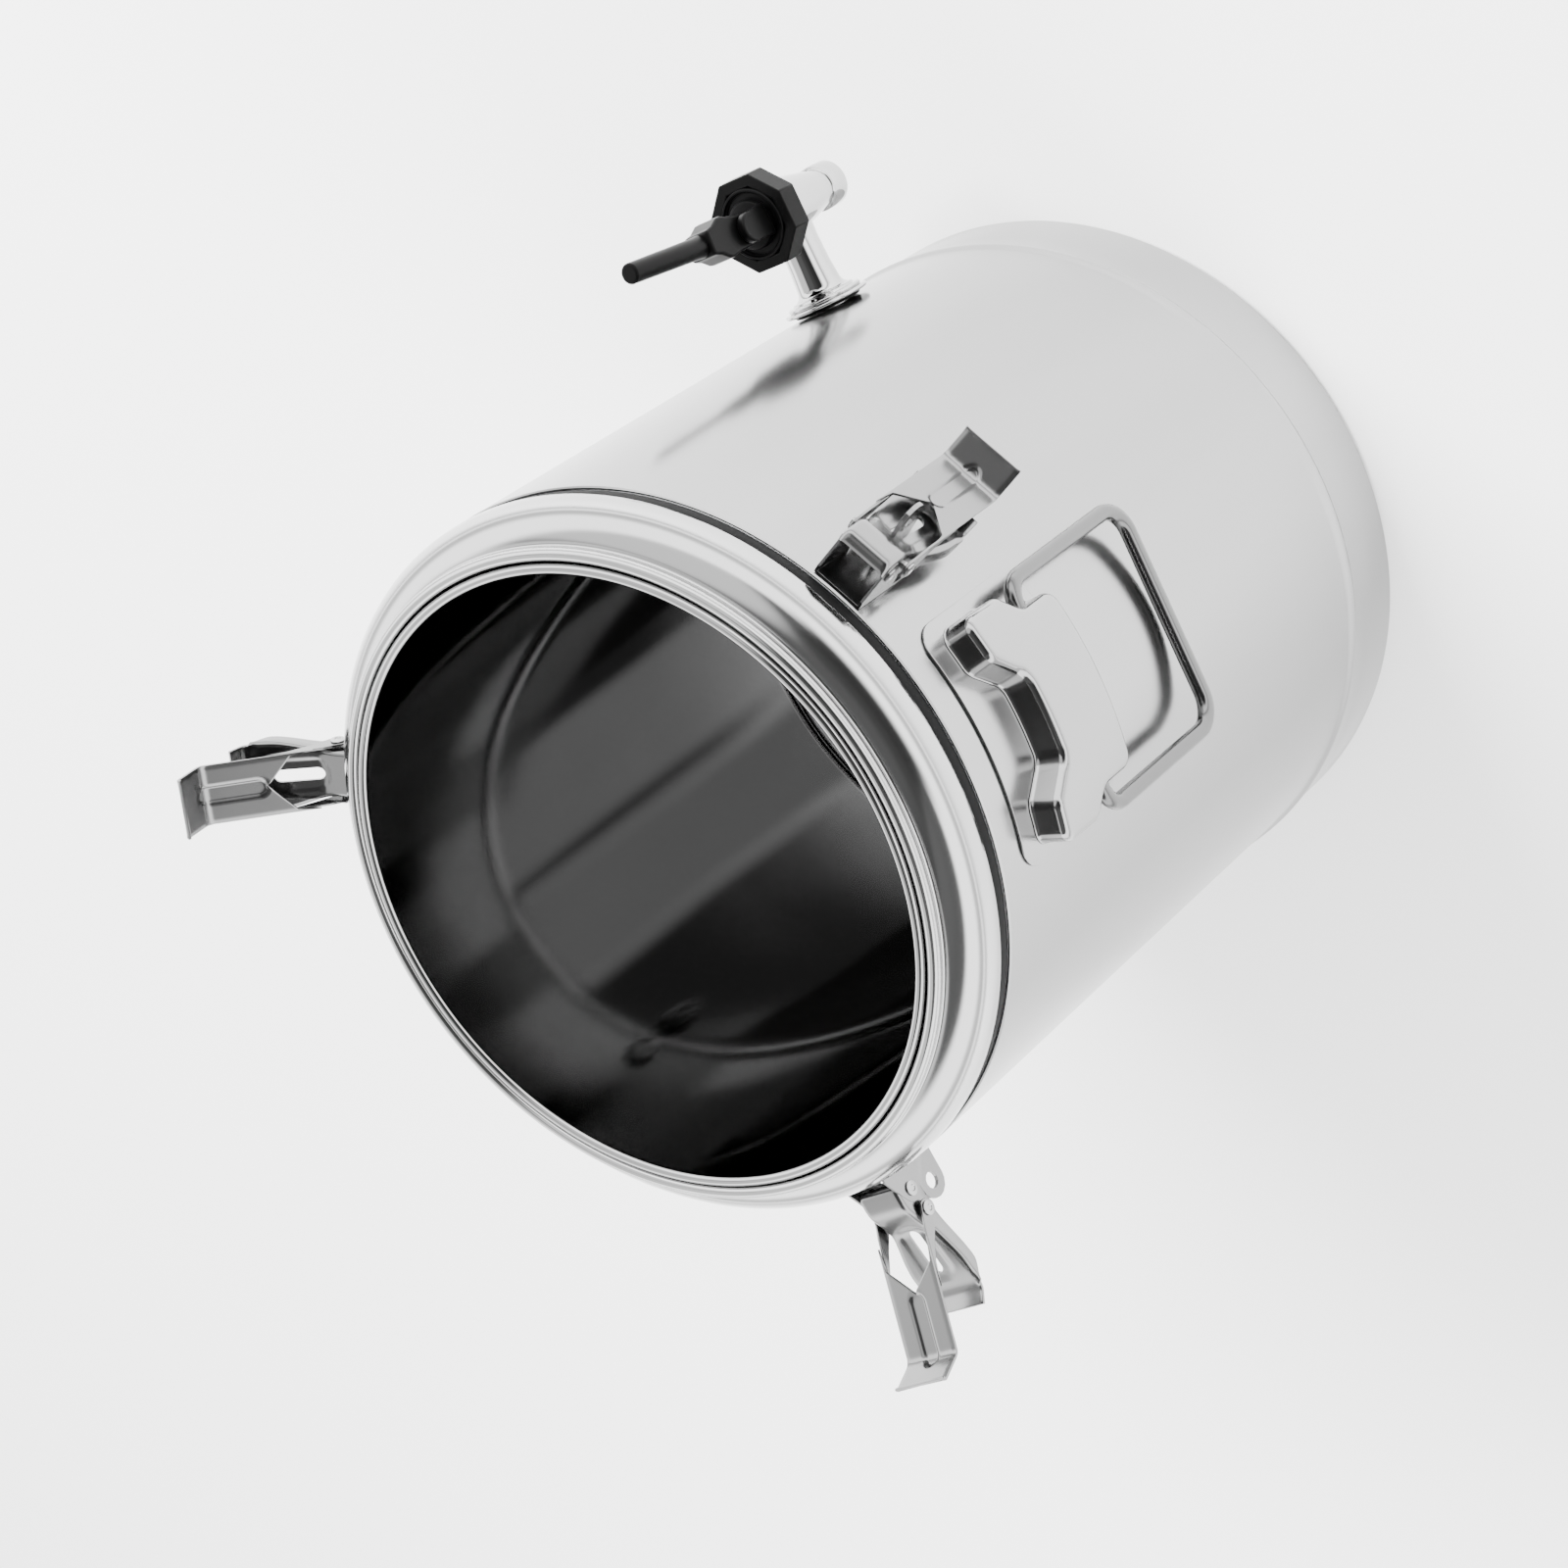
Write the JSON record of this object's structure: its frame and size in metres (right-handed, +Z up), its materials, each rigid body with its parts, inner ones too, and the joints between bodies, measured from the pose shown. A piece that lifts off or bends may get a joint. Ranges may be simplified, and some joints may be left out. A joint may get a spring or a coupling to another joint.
{
  "type": "insulated drinks barrel",
  "caption": "Insulated steel drinks barrel, open at the top, with a side tap, folding wire handles and toggle latches round the rim.",
  "frame": {"origin": "centre of the base, at the surface the barrel stands on", "axes": "+Z up the barrel to its mouth, -Y out to the tap, -X to the left handle and +X to the right handle as seen from the tap"},
  "size_m": [0.4105, 0.5072, 0.4305],
  "materials": {
    "body_steel": "mirror polished",
    "liner_steel": "satin",
    "stamped_steel": "polished stamping",
    "wire_steel": "polished wire",
    "pin_steel": "polished",
    "tap_chrome": "bright plating",
    "tap_black": "semi-gloss",
    "seal_rubber": "matt",
    "foam": "rigid foam"
  },
  "bodies": {
    "barrel": {"base_pan": "body_steel", "outer_shell": "body_steel", "seam_ring": "seal_rubber", "insulation_foam": "foam", "inner_liner": "liner_steel", "mouth_collar": "body_steel", "handle_left_plate": "body_steel", "handle_left_cover": "stamped_steel", "handle_right_plate": "body_steel", "handle_right_cover": "stamped_steel", "latch_a_bracket": "stamped_steel", "latch_b_bracket": "stamped_steel", "latch_c_bracket": "stamped_steel", "tap_gasket": "seal_rubber", "tap_flange": "tap_chrome", "tap_shank": "pin_steel", "tap_inner_washer": "seal_rubber", "tap_inner_nut": "pin_steel", "tap_body": "tap_chrome", "tap_cap_nut": "tap_black", "tap_bonnet": "tap_black", "tap_lever_pin": "pin_steel"},
    "latch_a_lever": {"latch_a_lever": "stamped_steel", "latch_a_lever_pin": "pin_steel", "latch_a_hook_pin": "pin_steel"},
    "latch_a_hook": {"latch_a_hook": "stamped_steel"},
    "latch_b_lever": {"latch_b_lever": "stamped_steel", "latch_b_lever_pin": "pin_steel", "latch_b_hook_pin": "pin_steel"},
    "latch_b_hook": {"latch_b_hook": "stamped_steel"},
    "latch_c_lever": {"latch_c_lever": "stamped_steel", "latch_c_lever_pin": "pin_steel", "latch_c_hook_pin": "pin_steel"},
    "latch_c_hook": {"latch_c_hook": "stamped_steel"},
    "bail_left": {"handle_left_bail": "wire_steel"},
    "bail_right": {"handle_right_bail": "wire_steel"},
    "tap_lever": {"tap_lever": "tap_black"},
    "tap_plunger": {"tap_plunger": "seal_rubber"}
  },
  "joints": [
    {"name": "latch_a_lever_hinge", "type": "hinge", "parent": "barrel", "child": "latch_a_lever", "pos_m": [-0.01444, 0.18343, 0.359], "axis": [-0.9969, -0.0785, 0], "range_deg": [-38, 87]},
    {"name": "latch_a_hook_hinge", "type": "hinge", "parent": "latch_a_lever", "child": "latch_a_hook", "pos_m": [-0.01531, 0.19458, 0.35841], "axis": [0.9969, 0.0785, 0], "range_deg": [-22, 70]},
    {"name": "latch_b_lever_hinge", "type": "hinge", "parent": "barrel", "child": "latch_b_lever", "pos_m": [-0.15854, -0.09339, 0.359], "axis": [0.5075, -0.8616, 0], "range_deg": [-130, 0]},
    {"name": "latch_b_hook_hinge", "type": "hinge", "parent": "latch_b_lever", "child": "latch_b_hook", "pos_m": [-0.15854, -0.09339, 0.3478], "axis": [-0.5075, 0.8616, 0], "range_deg": [-1, 181]},
    {"name": "latch_c_lever_hinge", "type": "hinge", "parent": "barrel", "child": "latch_c_lever", "pos_m": [0.16743, -0.0763, 0.359], "axis": [0.4147, 0.91, 0], "range_deg": [-8, 127]},
    {"name": "latch_c_hook_hinge", "type": "hinge", "parent": "latch_c_lever", "child": "latch_c_hook", "pos_m": [0.17557, -0.08001, 0.36574], "axis": [-0.4147, -0.91, 0], "range_deg": [-4, 50]},
    {"name": "bail_left_hinge", "type": "hinge", "parent": "barrel", "child": "bail_left", "pos_m": [-0.175, 0, 0.304], "axis": [0, 1, 0], "range_deg": [0, 100]},
    {"name": "bail_right_hinge", "type": "hinge", "parent": "barrel", "child": "bail_right", "pos_m": [0.175, 0, 0.304], "axis": [0, -1, 0], "range_deg": [0, 100]},
    {"name": "tap_lever_hinge", "type": "hinge", "parent": "barrel", "child": "tap_lever", "pos_m": [0, -0.222, 0.151], "axis": [1, 0, 0], "range_deg": [0, 60]},
    {"name": "tap_plunger_slide", "type": "slide", "parent": "barrel", "child": "tap_plunger", "axis": [0, 0, 1], "range_m": [0, 0.005]}
  ],
  "couplings": [
    {"joint": "tap_plunger_slide", "follows": "tap_lever_hinge", "m_per_rad": 0.0042}
  ]
}
